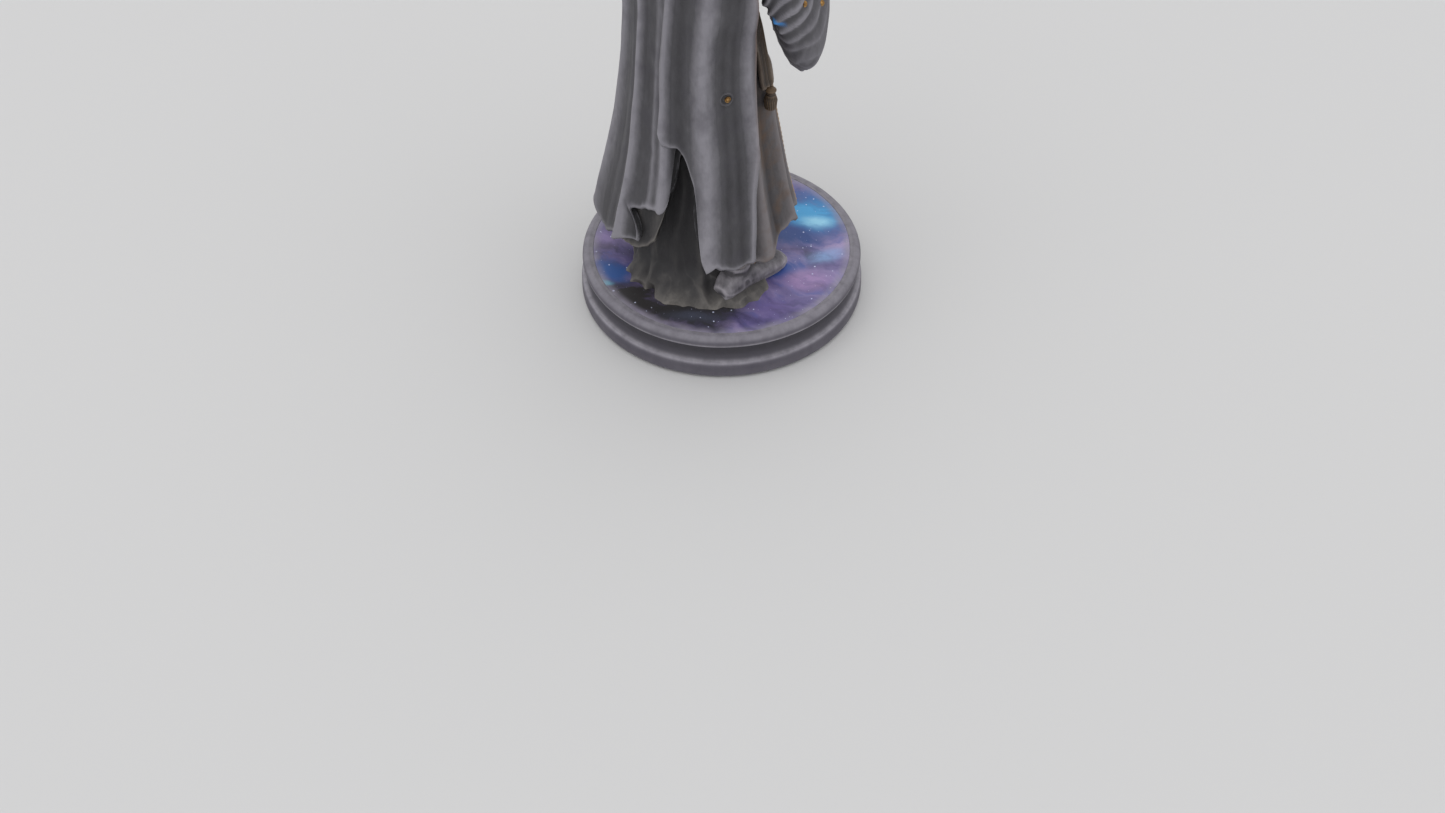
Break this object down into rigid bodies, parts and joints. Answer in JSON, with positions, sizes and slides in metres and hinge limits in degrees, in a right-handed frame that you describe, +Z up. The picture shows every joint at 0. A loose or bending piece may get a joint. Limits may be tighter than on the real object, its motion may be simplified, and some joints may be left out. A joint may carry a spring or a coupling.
{
  "type": "painted miniature figure",
  "caption": "Hooded mage in a torn cloak and long layered robes, a painted display miniature on a round stepped plinth with a night-sky top.",
  "frame": {"origin": "centre of the plinth's underside, on the face of the felt pad, where the miniature stands", "axes": "+Z up along the standing figure; the figure faces -Y with its left hand towards +X"},
  "size_m": [0.0406, 0.0406, 0.0842],
  "materials": {
    "plinth_paint": "satin varnish over grey-violet drybrushed paint on cast resin",
    "galaxy_paint": "satin varnish over a painted violet and blue night sky on cast resin",
    "weight_steel": "turned steel",
    "felt": "pressed wool felt",
    "brass_wire": "bare brass wire",
    "boot_paint": "matt drybrushed paint on cast resin",
    "under_paint": "matt dark grey paint on cast resin",
    "robe_paint": "matt warm grey paint, drybrushed lighter, on cast resin",
    "cloak_paint": "matt grey paint, drybrushed lighter, on cast resin",
    "gold_paint": "old-gold metallic paint on cast resin",
    "leather_paint": "satin brown paint on cast resin",
    "skin_paint": "matt skin paint on cast resin",
    "brass_paint": "metallic brass paint on cast resin"
  },
  "bodies": {
    "root": {"plinth": "plinth_paint", "galaxy_disc": "galaxy_paint", "base_weight": "weight_steel", "felt_pad": "felt", "foot_pins": "brass_wire", "right_boot": "boot_paint", "left_boot": "boot_paint", "under_robe": "under_paint", "torso": "robe_paint", "waistband": "under_paint", "surcoat_right": "robe_paint", "surcoat_left": "robe_paint", "trim_right": "gold_paint", "trim_left": "gold_paint", "tabard": "robe_paint", "robe_back": "under_paint", "cloak_left": "cloak_paint", "cloak_right": "cloak_paint", "belt": "leather_paint", "belt_buckle": "brass_paint", "sash_tail": "leather_paint", "sash_tassel": "gold_paint", "mantle": "cloak_paint", "mantle_clasp": "brass_paint", "hood": "cloak_paint", "head": "skin_paint", "right_sleeve": "robe_paint", "left_sleeve": "robe_paint", "right_undersleeve": "under_paint", "left_undersleeve": "under_paint", "right_hand": "skin_paint", "left_hand": "skin_paint", "cloak_stud": "brass_paint", "sleeve_studs": "brass_paint"}
  },
  "joints": []
}
